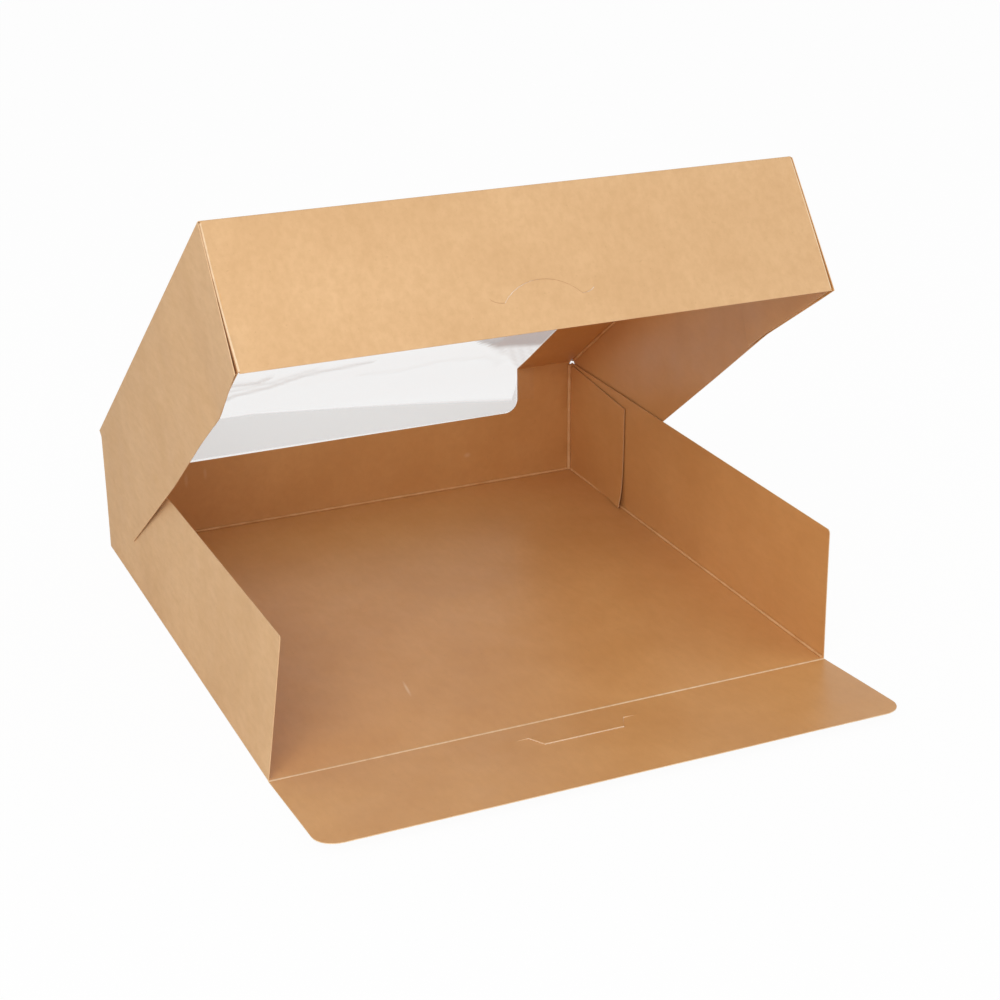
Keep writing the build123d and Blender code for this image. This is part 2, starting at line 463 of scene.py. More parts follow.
def boardPiece(name, bm, beads=(), turn=None, rim=cutEdge):
    mesh = bpy.data.meshes.new(name)
    bm.to_mesh(mesh)
    bm.free()
    for mat in boardFaces:
        mesh.materials.append(mat)
    obj = bpy.data.objects.new(name, mesh)
    bpy.context.scene.collection.objects.link(obj)
    thicken(obj, rim)
    for face in obj.data.polygons:
        face.use_smooth = True
    work = bmesh.new()
    work.from_mesh(obj.data)
    for start, end, radius in beads:
        addBead(work, start, end, radius)
    if turn:
        work.transform(turn)
    work.to_mesh(obj.data)
    work.free()
    obj.data.set_sharp_from_angle(angle=card["sharp"])
    return obj


# Tray

tray = {
    "wallTop": 0.0772,
    "backTop": 0.0777,
    "corner": 0.002,
    "cornerSteps": 6,
    "hingeRelief": 0.0016,
    "lean": {  # how far a side wall's top leans in, from the back to the front
        -1: ((0, 0), (0.077, 0.0045), (0.131, 0.008), (0.320, 0.010)),
        1: ((0, 0), (0.320, 0.001)),
    },
    "tabLength": 0.080,
    "tabSlope": 0.0075,
    "tabSkew": 0.0015,  # its free edge leans forward at the top
    "tabGap": 0.001,
    "tabOff": {-1: (0.0, 0.0), 1: (0.00035, 0.0003)},  # off the wall at the fold, and more at the free edge
    "tabOffFade": 0.01,
    "tabSpring": {-1: 0.0016, 1: 0.0033},  # how far the lower free corner stands off the wall
    "springCurve": (4, 7),  # how sharply it grows along the tab, and towards the foot
}


def foldTray(bm):
    side, front, back = trayHigh.x, trayLow.y, trayHigh.y
    r, t = card["fold"], card["thickness"]
    top, backTop = tray["wallTop"], tray["backTop"]
    tabFold = tabPlace(side)[1]
    floor = addFace(bm, [
        (r - side, front, 0), (side - r, front, 0), (side - r, back - r, 0), (r - side, back - r, 0)
    ])

    for s in (-1, 1):
        edges = edgesAt(floor.edges, 0, s * (side - r))
        edges = foldOver(bm, edges, (s * (side - r), 0, r), (0, -s, 0), quarter)
        for v in vertsOf(edges):
            if v.co.y > 0:
                v.co.y = back
        edges = carryOn(bm, edges, (0, 0, top - r))
        tops = vertsOf(edges)
        roundCorner(bm, [v for v in tops if v.co.y < 0], tray["corner"], tray["cornerSteps"])
        tops = [v for v in bm.verts if abs(v.co.z - top) < tiny and v.co.y > back - tiny]
        roundCorner(bm, tops, tray["hingeRelief"], 1)

    edges = [e for e in floor.edges if all(v.co.y > back - r - tiny for v in e.verts)]
    edges = foldOver(bm, edges, (0, back - r, r), (1, 0, 0), quarter)
    lowLeft, lowRight = sorted(vertsOf(edges), key=lambda v: v.co.x)
    tabLow, tabHigh = t + tray["tabGap"], top - tray["tabGap"]
    half, sill = window["half"], window["sill"]
    outline = [lowLeft, lowRight]
    outline += [(x, back, z) for x, z in (
        (tabFold, tabLow), (tabFold, tabHigh), (tabFold, backTop), (half, backTop), (half, sill),
        (-half, sill), (-half, backTop), (-tabFold, backTop), (-tabFold, tabHigh), (-tabFold, tabLow),
    )]
    addFace(bm, outline)
    sillCorners = [v for v in bm.verts if abs(v.co.z - sill) < tiny]
    roundCorner(bm, sillCorners, window["corner"], window["cornerSteps"])

    for s in (-1, 1):
        edges = [
            e for e in edgesAt(bm.edges, 0, s * tabFold)
            if all(tabLow - tiny < v.co.z < tabHigh + tiny for v in e.verts)
        ]
        edges = foldOver(bm, edges, (s * tabFold, back - r, 0), (0, 0, -s), quarter)
        edges = carryOn(bm, edges, (0, r - tray["tabLength"], 0))
        for v in vertsOf(edges):
            if v.co.z > backTop / 2:
                v.co.z = top - tray["tabSlope"]
                v.co.y -= tray["tabSkew"]

    faceOut(bm, lambda c: c.z < tiny, (0, 0, -1))
    slicePanels(bm, 0, r - side, side - r)
    slicePanels(bm, 1, front, back - r)
    slicePanels(bm, 2, r, top)


def warpTray(bm):
    side, front, back = trayHigh.x, trayLow.y, trayHigh.y
    r, top = card["fold"], tray["wallTop"]
    tabX, tabFold = tabPlace(side)
    outCurve, footCurve = tray["springCurve"]
    for v in bm.verts:
        x, y, z = v.co
        s = 1 if x > 0 else -1
        rise = z / top
        reach = back - y
        if abs(x) > tabFold + nearly and z > tiny:
            v.co.x -= s * along(tray["lean"][s], reach) * rise
            v.co.x -= s * wallWarp((s, y, z), "traySide", card["wallWarp"], rise)
        if abs(abs(x) - tabX) < nearly and z > r and reach > r:
            # the glued tab springs off the wall towards its lower free corner
            out = reach / tray["tabLength"]
            off, more = tray["tabOff"][s]
            v.co.x -= s * (off * min(1, reach / tray["tabOffFade"]) + more * out)
            v.co.x -= s * tray["tabSpring"][s] * out ** outCurve * (1 - rise) ** footCurve
        elif z < tiny:
            v.co.z += flatWarp((x, y, 0), "trayFloor", min(side - r - abs(x), back - r - y, y - front))
        elif abs(y - back) < tiny and abs(x) < tabFold:
            v.co.y -= wallWarp((x, 1, z), "trayBack", card["wallWarp"], rise)


def trayBeads():
    side, front, back = trayHigh.x, trayLow.y, trayHigh.y
    beads = []
    for s, radius in bead["floor"].items():
        inset = beadInset(radius)
        sideX = s * (side - inset)
        beads.append(((sideX, front + bead["end"], inset), (sideX, back - inset, inset), radius))
    radius = bead["back"]
    inset = beadInset(radius)
    beads.append(((inset - side, back - inset, inset), (side - inset, back - inset, inset), radius))
    radius = bead["corner"]
    inset = beadInset(radius)
    low, high = card["thickness"] + tray["tabGap"], tray["wallTop"] - tray["tabGap"]
    for s in (-1, 1):
        cornerX = s * (tabPlace(side)[0] - inset)
        beads.append(((cornerX, back - inset, low), (cornerX, back - inset, high), radius))
    return beads


def trayBoard():
    bm = bmesh.new()
    foldTray(bm)
    warpTray(bm)
    obj = boardPiece("tray_board", bm, trayBeads())
    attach(obj, "tray")
    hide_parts("tray")
    return obj


trayBoard()
print("tray folded")


# Lid, folded closed and then turned open about the hinge

lid = {
    "halfWidth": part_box("lid")[1].x,
    "depth": 0.322325,
    "wall": 0.077,
    "lean": math.radians(2.1),
    "hingeGap": 0.0003,
    "hingeRelief": 0.0016,
    "backSetback": 0.020,
    "cornerGap": (0.0001, 0.0006),  # between the side wall's edge and the front wall, at the top and the foot
    "footReach": 0.8,  # how far round the corner fold the front wall's foot goes, as a share of its radius
    "tabLength": 0.080,
    "tabSlope": 0.0075,
    "tabSquare": 0.020,  # how far a tab runs square to the leaning front
    "tabGap": 0.001,
    "tabSpring": {-1: 0.0, 1: 0.0022},
    "springCurve": (4, 1.5),  # how sharply it grows along the tab, and towards the foot
    "cornerOpen": {-1: (0.00015, 0.0013), 1: (0.0, 0.0011)},  # the front fold draws in from the side wall
    "openCurve": 2.5,
    "cornerFade": 0.025,
    "foldMargin": 0.1,  # at each side of the front corners' pale folds (painted highlight), as a share of their radius
    "longFoot": 0.00015,  # the left front corner hangs this much lower
    "longFootFade": 0.100,
    "bow": {  # how far a side wall's foot bows in, from the hinge to the front
        -1: ((0, 0.0012), (0.012, 0.0016), (0.138, 0.0058), (0.213, 0.0055), (0.256, 0.0066), (0.322, 0)),
        1: ((0.060, 0), (0.102, 0.0005), (0.185, 0.004), (0.261, 0.008), (0.322, 0)),
    },
    "warpIn": 0.2,  # how far a side wall's ripple is shifted inwards
    "warpStart": 0.02,  # from the hinge, on the top
    "beadEnds": (0.004, 0.002),  # how far a side's bead stops short of the hinge and of the front fold
}
halfMoon = {
    "side": 0.021,
    "top": 0.050,
    "foot": 0.060,
    "hookOut": 0.0075,
    "hookUp": 0.004,
    "cut": 0.00018,
    "steps": 12,
    "hookSteps": 4,
}
skin = card["thickness"] / 2
lidFoldFront = lid["depth"] - card["fold"] * math.tan((quarter - lid["lean"]) / 2)
lidTabTop, lidTabFoot = skin + lid["tabGap"], lid["wall"] - lid["tabGap"]
openLid = (
    Matrix.Translation(hinge) @ Matrix.Rotation(-lidOpen, 4, "X") @ Matrix.Translation(-hinge)
)


def lidPoint(x, reach, down):
    return Vector((x, hinge.y - reach, hinge.z - down))


def lidFront(down):
    return lid["depth"] + (down + skin) * math.tan(lid["lean"])


def moonLine():
    # the half-moon and its two hooks, from left to right, as sideways and downward places
    side, rise = halfMoon["side"], halfMoon["foot"] - halfMoon["top"]
    radius = (side ** 2 + rise ** 2) / (2 * rise)
    widest = math.asin(side / radius)
    moon = []
    for i in range(halfMoon["steps"] + 1):
        a = widest * (2 * i / halfMoon["steps"] - 1)
        moon.append((radius * math.sin(a), halfMoon["top"] + radius * (1 - math.cos(a))))
    hook = []
    for i in range(1, halfMoon["hookSteps"] + 1):
        b = quarter * i / halfMoon["hookSteps"]
        out, up = halfMoon["hookOut"] * math.sin(b), halfMoon["hookUp"] * (1 - math.cos(b))
        hook.append((side + out, halfMoon["foot"] - up))
    return [(-x, v) for x, v in reversed(hook)] + moon + hook


def foldLidSides(bm, edges, s):
    side, r = lid["halfWidth"], card["fold"]
    edges = foldOver(bm, edges, (s * (side - r), 0, hinge.z + skin - r), (0, s, 0), quarter)
    shoulder = r - skin
    topGap, footGap = lid["cornerGap"]
    for down, setback, gap in (
        (shoulder, lid["hingeRelief"], topGap), (lid["wall"], lid["backSetback"], footGap)
    ):
        edges = carryOn(bm, edges, (0, 0, shoulder - down)) if down > shoulder else edges
        for v in vertsOf(edges):
            v.co.y = hinge.y - (setback if v.co.y > 0 else lidFront(down) - gap)


def foldLidFront(bm, edges):
    wall, r = lid["wall"], card["fold"]
    tabFold = tabPlace(lid["halfWidth"])[1]
    centre = (0, hinge.y - lidFoldFront, hinge.z + skin - r)
    edges = foldOver(bm, edges, centre, (1, 0, 0), quarter - lid["lean"])
    ringLeft, ringRight = sorted(vertsOf(edges), key=lambda v: v.co.x)
    line = moonLine()
    middle = line[0][1]

    def onFront(x, down):
        return bm.verts.new(lidPoint(x, lidFront(down), down))

    leftMiddle, rightMiddle = onFront(-tabFold, middle), onFront(tabFold, middle)
    ends = onFront(*line[0]), onFront(*line[-1])
    upper = [onFront(x, down) for x, down in line[1:-1]]
    lower = [onFront(x, down + halfMoon["cut"]) for x, down in line[1:-1]]
    foot = tabFold + lid["footReach"] * r
    addFace(bm, [
        ringLeft, ringRight, onFront(tabFold, lidTabTop), rightMiddle, ends[1], *reversed(upper), ends[0],
        leftMiddle, onFront(-tabFold, lidTabTop),
    ])
    addFace(bm, [
        leftMiddle, ends[0], *lower, ends[1], rightMiddle, onFront(tabFold, lidTabFoot),
        onFront(foot, wall), onFront(-foot, wall), onFront(-tabFold, lidTabFoot),
    ])


def foldLidTabs(bm):
    lean, r = lid["lean"], card["fold"]
    tabFold = tabPlace(lid["halfWidth"])[1]
    inward = Vector((0, math.cos(lean), -math.sin(lean)))
    upward = Vector((0, math.sin(lean), math.cos(lean)))
    low, high = hinge.z - lidTabFoot, hinge.z - lidTabTop
    for s in (-1, 1):
        edges = [
            e for e in edgesAt(bm.edges, 0, s * tabFold)
            if all(low - tiny < v.co.z < high + tiny for v in e.verts)
        ]
        centre = lidPoint(s * tabFold, lidFront(0), 0) + inward * r
        edges = foldOver(bm, edges, centre, upward * s, quarter)
        edges = carryOn(bm, edges, inward * lid["tabSquare"])
        for v in vertsOf(edges):
            v.co.y = hinge.y - lid["depth"] + lid["tabLength"]
            if v.co.z > high - lid["wall"] / 3:
                v.co.z = hinge.z - skin - lid["tabSlope"]


def foldLid(bm):
    side, depth, r = lid["halfWidth"], lid["depth"], card["fold"]
    gap, half, windowFront = lid["hingeGap"], window["half"], depth - window["frontStrip"]
    top = addFace(bm, [lidPoint(x, u, -skin) for x, u in (
        (r - side, gap), (r - side, lidFoldFront), (side - r, lidFoldFront), (side - r, gap),
        (half, gap), (half, windowFront), (-half, windowFront), (-half, gap),
    )])
    sideEdges = {s: edgesAt(top.edges, 0, s * (side - r)) for s in (-1, 1)}
    frontEdges = edgesAt(top.edges, 1, hinge.y - lidFoldFront)
    for s in (-1, 1):
        foldLidSides(bm, sideEdges[s], s)
    foldLidFront(bm, frontEdges)
    foldLidTabs(bm)
    cornerPlace = hinge.y - windowFront
    corners = [v for v in bm.verts if abs(v.co.y - cornerPlace) < tiny and abs(abs(v.co.x) - half) < tiny]
    roundCorner(bm, corners, window["corner"], window["cornerSteps"])

    faceOut(bm, lambda c: c.z > hinge.z + skin - tiny, (0, 0, 1))
    slicePanels(bm, 0, r - side, side - r)
    slicePanels(bm, 1, hinge.y - lidFoldFront, hinge.y - gap)
    slicePanels(bm, 2, hinge.z - lid["wall"], hinge.z - r)
    # the front corners' rounded folds, less a margin at each side, get the pale crease material: a painted
    # highlight
    margin = lid["foldMargin"] * r
    start, end = tabPlace(side)[1] + margin, side - card["thickness"] - margin
    for face in bm.faces:
        middle = face.calc_center_median()
        if start < abs(middle.x) < end and hinge.y - middle.y > depth - r:
            face.material_index = boardFaces.index(creaseAndHighlight)


def warpLid(bm):
    side, depth, r = lid["halfWidth"], lid["depth"], card["fold"]
    tabX, tabFold = tabPlace(side)
    outCurve, footCurve = lid["springCurve"]
    for v in bm.verts:
        x, y, z = v.co
        s = 1 if x > 0 else -1
        down, reach = hinge.z - z, hinge.y - y
        drop = max(0.0, down / lid["wall"])
        if down > lidTabTop - tiny and abs(x) <= side - skin:
            near = 1 - max(tabFold - abs(x), depth - reach) / lid["cornerFade"]
            start, more = lid["cornerOpen"][s]
            v.co.x -= s * (start + more * drop ** lid["openCurve"]) * min(1, max(0, near))
        if abs(abs(x) - tabX) < nearly and down > r and reach < depth - r:
            out = (depth - reach) / lid["tabLength"]
            v.co.x -= s * lid["tabSpring"][s] * out ** outCurve * drop ** footCurve
        if down > 0:
            leftShare = (side - x) / (2 * side) * max(0, 1 - (depth - reach) / lid["longFootFade"])
            v.co.z -= lid["longFoot"] * drop * leftShare
        if abs(x) > tabFold + r / 2 and down > r:
            v.co.x -= s * along(lid["bow"][s], reach) * drop
            edge = min(1, max(0, min(reach, depth - reach)) / card["warpFade"])
            shift = lid["warpIn"] + ripple((s, y, z), "lidSide")
            v.co.x -= s * card["warp"] * shift * math.sin(math.pi * min(1, drop)) * edge
        elif down < 0:
            edge = min(side - r - abs(x), lidFoldFront - reach)
            v.co.z -= flatWarp((x, y, 0), "lidTop", edge) * min(1, reach / lid["warpStart"])
        elif reach > lidFoldFront and abs(x) < tabFold:
            v.co.y += wallWarp((x, 1, z), "lidFront", card["frontWarp"], drop)


def lidBeads():
    radius, side = bead["lid"], lid["halfWidth"]
    inset = beadInset(radius)
    high, tabX = inset - skin, tabPlace(side)[0]
    fromHinge, fromFront = lid["beadEnds"]
    beads = []
    for s in (-1, 1):
        sideX = s * (side - inset)
        back, front = fromHinge, lidFoldFront - fromFront
        beads.append((lidPoint(sideX, back, high), lidPoint(sideX, front, high), radius))
        start, more = lid["cornerOpen"][s]
        cornerX = tabX - inset - start
        beads.append((
            lidPoint(s * cornerX, lidFront(lidTabTop) - inset, lidTabTop + bead["end"]),
            lidPoint(s * (cornerX - more), lidFront(lidTabFoot) - inset, lidTabFoot),
            radius,
        ))
    reach = lidFront(inset) - inset
    beads.append((lidPoint(inset - side, reach, high), lidPoint(side - inset, reach, high), radius))
    return beads


def lidBoard():
    bm = bmesh.new()
    foldLid(bm)
    warpLid(bm)
    obj = boardPiece("lid_board", bm, lidBeads(), openLid)
    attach(obj, "lid")
    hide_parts("lid")
    return obj


lidBoard()
print("lid folded")


# Front flap, with its tongue cut

flap = {
    "halfWidth": 0.1598,
    "start": 0.0003,
    "length": 0.077,
    "corner": 0.012,
    "cornerSteps": 8,
    "tongueReach": 0.0265,
    "tongueHalf": 0.0225,
    "tongueRoot": 0.027,
    "serifEnd": 0.035,
    "serifReach": 0.0165,
    "cut": 0.00015,
    "lift": 0.00045,  # the tongue stands this proud along its cut
    "liftFade": 0.006,
    "curl": 0.0004,
    "curlUp": 0.6,  # how far the ripple of its free edge is shifted upwards
}
tongueLine = (
    (-flap["serifEnd"], flap["serifReach"]),
    (-flap["tongueRoot"], flap["serifReach"]),
    (-flap["tongueHalf"], flap["tongueReach"]),
    (flap["tongueHalf"], flap["tongueReach"]),
    (flap["tongueRoot"], flap["serifReach"]),
    (flap["serifEnd"], flap["serifReach"]),
)
tiltFlap = Matrix.Translation(flapAxis) @ Matrix.Rotation(-flapTilt, 4, "X")


def flapBoard():
    bm = bmesh.new()
    half, start, end = flap["halfWidth"], flap["start"], flap["start"] + flap["length"]

    def onFlap(x, reach):
        return bm.verts.new((x, -reach, -skin))

    leftMiddle, rightMiddle = onFlap(-half, flap["serifReach"]), onFlap(half, flap["serifReach"])
    ends = onFlap(*tongueLine[0]), onFlap(*tongueLine[-1])
    near = [onFlap(x, reach) for x, reach in tongueLine[1:-1]]
    far = [onFlap(x, reach + flap["cut"]) for x, reach in tongueLine[1:-1]]
    addFace(bm, [
        onFlap(-half, start), onFlap(half, start), rightMiddle, ends[1], *reversed(near), ends[0], leftMiddle
    ])
    corners = [onFlap(half, end), onFlap(-half, end)]
    addFace(bm, [leftMiddle, ends[0], *far, ends[1], rightMiddle, *corners])
    roundCorner(bm, corners, flap["corner"], flap["cornerSteps"])
    faceOut(bm, lambda c: True, (0, 0, -1))
    slicePanels(bm, 0, -half, half)
    slicePanels(bm, 1, -end, -start)
    for v in bm.verts:
        x, y, z = v.co
        v.co.z += flap["curl"] * (ripple((x, y, 0), "flap") + flap["curlUp"]) * -y / end
        inwards = (flap["serifEnd"] - abs(x)) / flap["liftFade"]
        fromCut = along(tongueLine, x) + y
        if inwards > 0 and fromCut > -flap["cut"] / 2:
            v.co.z += flap["lift"] * min(1, inwards) * max(0, 1 - fromCut / flap["liftFade"])
    obj = boardPiece("front_flap_board", bm, turn=tiltFlap, rim=creaseAndHighlight)
    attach(obj, "front_flap")
    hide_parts("front_flap")
    return obj


flapBoard()
print("flap cut")


# Creases along the hinges

hingeCrease = {
    "reach": 0.0011,  # how far it laps each panel
    "proud": 0.00006,
    "steps": 8,
    "cornerHole": 0.0008,  # pinhole left open at the box's corner
    "bend": 0.0007,
}
flapCrease = {
    "height": 0.00058,
    "foot": 0.00004,
    "width": 0.0011,
    "back": 0.0001,
    "steps": 8,
    "crown": 0.7,  # below 1 is fuller than a half round
    "bend": 0.00055,
}


def loosePiece(name, bm, mat):
    mesh = bpy.data.meshes.new(name)
    bm.to_mesh(mesh)
    bm.free()
    mesh.materials.append(mat)
    for face in mesh.polygons:
        face.use_smooth = True
    mesh.set_sharp_from_angle(angle=card["sharp"])
    obj = bpy.data.objects.new(name, mesh)
    bpy.context.scene.collection.objects.link(obj)
    return obj


def hingeStrip(name, left, right):
    bm = bmesh.new()
    half = skin + hingeCrease["proud"]
    start = hinge + Vector((0, half, -hingeCrease["reach"]))
    end = hinge + lidWay * hingeCrease["reach"] + lidNormal * half
    corner = hinge + (Vector((0, 1, 0)) + lidNormal).normalized() * half
    points = []
    for i in range(hingeCrease["steps"] + 1):
        k = i / hingeCrease["steps"]
        points.append(start * (1 - k) ** 2 + corner * 2 * k * (1 - k) + end * k ** 2)
    row = [bm.verts.new((left, p.y, p.z)) for p in points]
    edges = [bm.edges.new(pair) for pair in zip(row, row[1:])]
    carryOn(bm, edges, (right - left, 0, 0))
    faceOut(bm, lambda c: True, (0, 1, 0.3))
    obj = boardPiece(name, bm)
    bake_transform(obj)
    return obj


def flapStrip():
    bm = bmesh.new()
    wide, foot, high = flapCrease["width"], flapCrease["foot"], flapCrease["height"]
    centreY = flapAxis.y + flapCrease["back"]
    for i in range(flapCrease["steps"] + 1):
        a = math.pi * i / flapCrease["steps"]
        rise = (high - foot) * math.sin(a) ** flapCrease["crown"]
        bm.verts.new((-flap["halfWidth"], centreY + wide * math.cos(a), foot + rise))
    row = list(bm.verts)
    edges = [bm.edges.new((row[i], row[(i + 1) % len(row)])) for i in range(len(row))]
    carryOn(bm, edges, (2 * flap["halfWidth"], 0, 0))
    bmesh.ops.holes_fill(bm, edges=bm.edges, sides=0)
    bmesh.ops.recalc_face_normals(bm, faces=bm.faces)
    obj = loosePiece("flap_crease", bm, creaseAndHighlight)
    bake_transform(obj)
    return obj


outerEnd = trayHigh.x - hingeCrease["cornerHole"]
hingeStrip("hinge_crease_left", -outerEnd, -window["half"])
hingeStrip("hinge_crease_right", window["half"], outerEnd)
flapStrip()
print("creases made")


# Window film: one sheet from the back wall, round the hinge, to the front of the lid

film = {
    "lidGlue": 0.282,  # how far along the lid the sheet is free of the glue
    "margin": 0.012,  # glued, all round the window
    "gap": 0.0002,  # between it and the board
    "columns": 96,
    "rows": 120,
    "glueRows": 0.025,  # share of the rows up to the window's sill
    "wallRows": 0.14,  # up to where it leaves the wall
    "cornerRows": 0.40,  # and up to where it is back on the lid
    "foot": (0.0096, 0.095, 0.12),  # how far below the hinge it leaves the wall: middle, slope and curve
    "footRange": (0.004, 0.023),
    "reach": 0.028,  # how far along the lid it comes back
    "reachSlope": 1.35,
    "edge": 0.0008,
    "edgeWidth": 0.003,
    "fade": {"side": 0.03, "sill": 0.012, "front": 0.02},  # how near the glue it starts to wave
    "bulge": 0.0025,
    "bulgeSpan": (0.018, 0.100),
    "wave": 0.0006,
    "waveScale": (9, 14),
    "waveSeed": 4.2,
    "ridge": 0.0004,
    "ridgeWidth": 0.0042,
    "bend": 0.012,
}
# how cloudy the sheet is drawn, from 0 to 1: its own haze, with painted shade where the shaded backdrop shows
# through it
hazeAndPaintedShade = {
    # painted shade on the wall, where the shaded backdrop shows through; on the lid, its own paler haze
    "wall": 0.42,
    "lid": 0.15,
    "glue": 0.03,
    "glueEdge": (0.0015, 0.0006),  # how far the glue reaches into the window, at its sides and its sill
    "turn": 0.06,  # share of the corner in which it clears
    # the buckle's painted reflection of the board: its cloudiness, streaks and tint
    "buckle": (0.26, 0.62),  # near the window's edge, and further along
    "paintedReflection": (0.30, 1.0),
    "buckleTurn": (0.044, 0.052),
    "buckleSoft": 0.003,
    "buckleEnd": 0.02,
    "stripes": 1300.0,
    "stripeSlant": 0.35,
    "stripeWander": 0.0015,
    "stripe": 0.05,
}
# folds in the film, as places across and along the lid
filmRidges = (
    (0.36, ((-0.112, 0.008), (-0.0816, 0.0316), (-0.061, 0.037), (-0.0389, 0.0485), (0.001, 0.055))),
    (0.38, ((-0.114, 0.020), (-0.0864, 0.0480), (-0.0700, 0.0470), (-0.0641, 0.0520))),
    (0.27, ((-0.108, 0.016), (-0.0860, 0.0400), (-0.0600, 0.0440), (-0.0350, 0.0560))),
    (0.19, ((0.000, 0.036), (0.0265, 0.0335), (0.0516, 0.0400), (0.0828, 0.0360), (0.100, 0.0240))),
)
buckleLine = (
    (0.0640, 0.0750), (0.0709, 0.0643), (0.0862, 0.0499), (0.0899, 0.0424), (0.1008, 0.0320),
    (0.1101, 0.0186), (0.1180, 0.0040),
)
filmHalf = window["half"] + film["margin"]
filmLow = window["sill"] - film["margin"]
filmEnd = lid["depth"] - window["frontStrip"] + film["margin"]
wallFace = trayHigh.y - card["thickness"] - film["gap"]
lidFace = hinge - lidNormal * (skin + film["gap"])
filmCorner = lidFace + lidWay * ((lidFace.y - wallFace) / math.cos(lidOpen))


def smoothShare(value):
    value = max(0.0, min(1.0, value))
    return value * value * (3 - 2 * value)


def fromLine(points, x, distance):
    place = Vector((x, distance))
    far = []
    for a, b in zip(points, points[1:]):
        a, b = Vector(a), Vector(b)
        share = max(0.0, min(1.0, (place - a).dot(b - a) / (b - a).length_squared))
        far.append((place - a.lerp(b, share)).length)
    return min(far)


def buckleReflectionMask(x, distance):
    # 1 beyond the buckle's edge, near the window's right side, where the board's reflection is painted
    firstX, firstPlace = buckleLine[0]
    if distance > firstPlace:
        ending = smoothShare(1 - (distance - firstPlace) / hazeAndPaintedShade["buckleEnd"])
        return smoothShare((x - firstX) / hazeAndPaintedShade["buckleSoft"]) * ending
    for (x0, place0), (x1, place1) in zip(buckleLine, buckleLine[1:]):
        if place1 <= distance <= place0:
            edge = x0 + (place0 - distance) / (place0 - place1) * (x1 - x0)
            return smoothShare((x - edge) / hazeAndPaintedShade["buckleSoft"] + 0.5)
    return 0.0


def filmPath(x, row):
    # for each row: where the sheet runs, its outer side, its distance along the lid,
    # its haze with painted shade, and how free its glue leaves it
    glueRows, wallRows, cornerRows = film["glueRows"], film["wallRows"], film["cornerRows"]
    middle, slope, curve = film["foot"]
    highest, lowest = film["footRange"]
    within = window["half"] - abs(x)
    foot = max(highest, min(lowest, middle + slope * x + curve * x * x))
    foot = film["edge"] + (foot - film["edge"]) * smoothShare(within / film["edgeWidth"])
    reach = film["edge"] + max(0, min(film["reach"], within * film["reachSlope"]))
    onWall = filmCorner - Vector((0, 0, foot))
    outwards = Vector((0, 1, 0))
    if row < wallRows:
        if row < glueRows:
            height = filmLow + row / glueRows * film["margin"]
        else:
            share = (row - glueRows) / (wallRows - glueRows)
            height = window["sill"] + share * (onWall.z - window["sill"])
        free = min(1, max(0, height - window["sill"]) / film["fade"]["sill"])
        return Vector((0, wallFace, height)), outwards, 0.0, hazeAndPaintedShade["wall"], free
    if row < cornerRows:
        k = (row - wallRows) / (cornerRows - wallRows)
        onLid = filmCorner + lidWay * reach
        place = onWall * (1 - k) ** 2 + filmCorner * 2 * k * (1 - k) + onLid * k ** 2
        normal = (outwards * (1 - k) + lidNormal * k).normalized()
        hazeAndShade = hazeAndPaintedShade["lid"] + (hazeAndPaintedShade["wall"] - hazeAndPaintedShade["lid"]) * max(0, 1 - k / hazeAndPaintedShade["turn"])
        return place, normal, reach * k, hazeAndShade, 1.0
    distance = reach + (row - cornerRows) / (1 - cornerRows) * (filmEnd - reach)
    free = min(1, max(0, film["lidGlue"] - distance) / film["fade"]["front"])
    return filmCorner + lidWay * distance, lidNormal, distance, hazeAndPaintedShade["lid"], free


def paintedBuckleReflection(x, distance, wave, hazeAndShade):
    turned = buckleReflectionMask(x, distance)
    low, high = hazeAndPaintedShade["buckleTurn"]
    far = smoothShare((distance - low) / (high - low))
    across = x - distance * hazeAndPaintedShade["stripeSlant"] + hazeAndPaintedShade["stripeWander"] * wave
    stripe = hazeAndPaintedShade["stripe"] * math.sin(across * hazeAndPaintedShade["stripes"]) * (1 - far)
    thin, thick = hazeAndPaintedShade["buckle"]
    hazeAndShade += turned * (thin + (thick - thin) * far + stripe - hazeAndShade)
    thin, thick = hazeAndPaintedShade["paintedReflection"]
    return hazeAndShade, turned * (thin + (thick - thin) * far)


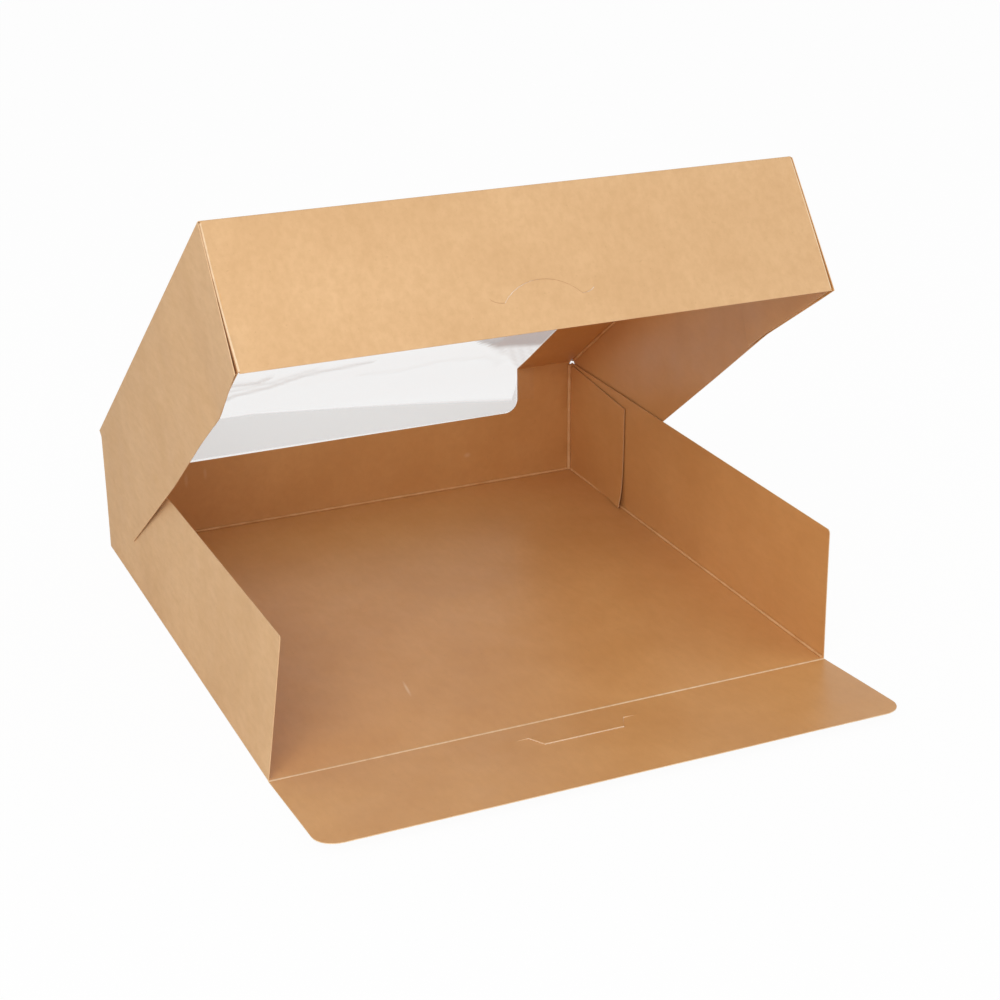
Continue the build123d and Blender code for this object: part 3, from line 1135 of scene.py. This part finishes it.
def filmSheet():
    bm = bmesh.new()
    bmesh.ops.create_grid(bm, x_segments=film["columns"], y_segments=film["rows"], size=0.5)
    veil = bm.verts.layers.float.new("veil")
    paintedReflection = bm.verts.layers.float.new("paintedReflection")
    low, high = film["bulgeSpan"]
    waveAcross, waveAlong = film["waveScale"]
    sideGlue, sillGlue = hazeAndPaintedShade["glueEdge"]
    for v in bm.verts:
        x, row = v.co.x * 2 * filmHalf, v.co.y + 0.5
        within = window["half"] - abs(x)
        place, normal, distance, hazeAndShade, free = filmPath(x, row)
        free *= smoothShare(within / film["fade"]["side"])
        if low < distance < high:
            share = math.sin(math.pi * (distance - low) / (high - low)) ** 2
            place = place + normal * film["bulge"] * share * free
        wavePlace = (x * waveAcross, (place.z + distance) * waveAlong, film["waveSeed"])
        wave = noise.noise(Vector(wavePlace))
        place = place + normal * film["wave"] * wave * free
        paintedReflectionShare = 0.0
        if row > film["wallRows"]:
            for strength, line in filmRidges:
                near = smoothShare(1 - fromLine(line, x, distance) / film["ridgeWidth"])
                place = place - normal * film["ridge"] * near * free
                hazeAndShade = max(hazeAndShade, hazeAndPaintedShade["lid"] + (strength - hazeAndPaintedShade["lid"]) * near)
            hazeAndShade, paintedReflectionShare = paintedBuckleReflection(x, distance, wave, hazeAndShade)
        clear = within > sideGlue and place.z > window["sill"] + sillGlue
        # the veil is the sheet's alpha: its haze with painted shade, and the buckle's painted reflection
        v[veil] = hazeAndShade if clear else hazeAndPaintedShade["glue"]
        v[paintedReflection] = paintedReflectionShare
        v.co = Vector((x, place.y, place.z))
    bmesh.ops.recalc_face_normals(bm, faces=bm.faces)
    obj = loosePiece("window_film", bm, filmFace)
    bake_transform(obj)
    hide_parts("lid_window_film", "back_window_film")
    return obj


filmSheet()
print("film laid")


# Studio

studio = {
    "floor": 6.0,
    "floorTone": (0.86, 0.86, 0.86, 1),
    "floorRough": 0.9,
    "floorGlow": 0.96,
    "floorDrop": 0.0002,
    "ambient": 0.61,
}
lamps = {
    "key": {"place": (-1.0, -1.25, 1.25), "aim": (0, 0, 0.1), "size": 1.1, "power": 12.6},
    "fill": {"place": (1.4, -0.9, 0.9), "aim": (0, 0, 0.1), "size": 1.2, "power": 4.3},
    "side": {"place": (-0.6, -0.95, 0.32), "aim": (-0.16, -0.2, 0.05), "size": 0.5, "power": 1.2},
}
white = (1, 1, 1, 1)


def studioFloor():
    bm = bmesh.new()
    bmesh.ops.create_grid(bm, x_segments=1, y_segments=1, size=studio["floor"])
    mat, tree, shader = newMaterial("studio_floor")
    shader.inputs["Base Color"].default_value = studio["floorTone"]
    shader.inputs["Roughness"].default_value = studio["floorRough"]
    shader.inputs["Specular IOR Level"].default_value = 0.0
    glow = addNode(tree, "ShaderNodeEmission", {"Color": white, "Strength": 1.0})
    path = addNode(tree, "ShaderNodeLightPath")
    share = addNode(tree, "ShaderNodeMath", {1: studio["floorGlow"]}, operation="MULTIPLY")
    tree.links.new(path.outputs["Is Camera Ray"], share.inputs[0])
    mixed = addNode(tree, "ShaderNodeMixShader")
    tree.links.new(share.outputs[0], mixed.inputs[0])
    tree.links.new(shader.outputs[0], mixed.inputs[1])
    tree.links.new(glow.outputs[0], mixed.inputs[2])
    tree.links.new(mixed.outputs[0], tree.nodes["Material Output"].inputs["Surface"])
    obj = loosePiece("studio_floor", bm, mat)
    obj.location.z = -studio["floorDrop"]


def softLamp(name, lamp):
    data = bpy.data.lights.new(name, "AREA")
    data.shape, data.size, data.energy = "DISK", lamp["size"], lamp["power"]
    obj = bpy.data.objects.new(name, data)
    obj.location = lamp["place"]
    obj.rotation_mode = "QUATERNION"
    obj.rotation_quaternion = (Vector(lamp["aim"]) - Vector(lamp["place"])).to_track_quat("-Z", "Y")
    bpy.context.scene.collection.objects.link(obj)


def studioLight():
    world = bpy.data.worlds.new("studio")
    bpy.context.scene.world = world
    world.use_nodes = True
    tree = world.node_tree
    sky = tree.nodes["Background"]
    sky.inputs["Color"].default_value = white
    path = addNode(tree, "ShaderNodeLightPath")
    seen = addNode(tree, "ShaderNodeMath", operation="MAXIMUM")
    tree.links.new(path.outputs["Is Camera Ray"], seen.inputs[0])
    tree.links.new(path.outputs["Is Transmission Ray"], seen.inputs[1])
    tree.links.new(addRange(tree, seen.outputs[0], 0, 1, studio["ambient"], 1.0), sky.inputs["Strength"])
    for name, lamp in lamps.items():
        softLamp(name, lamp)


studioFloor()
studioLight()
bpy.context.scene.view_settings.view_transform = "Standard"
print("studio lit")
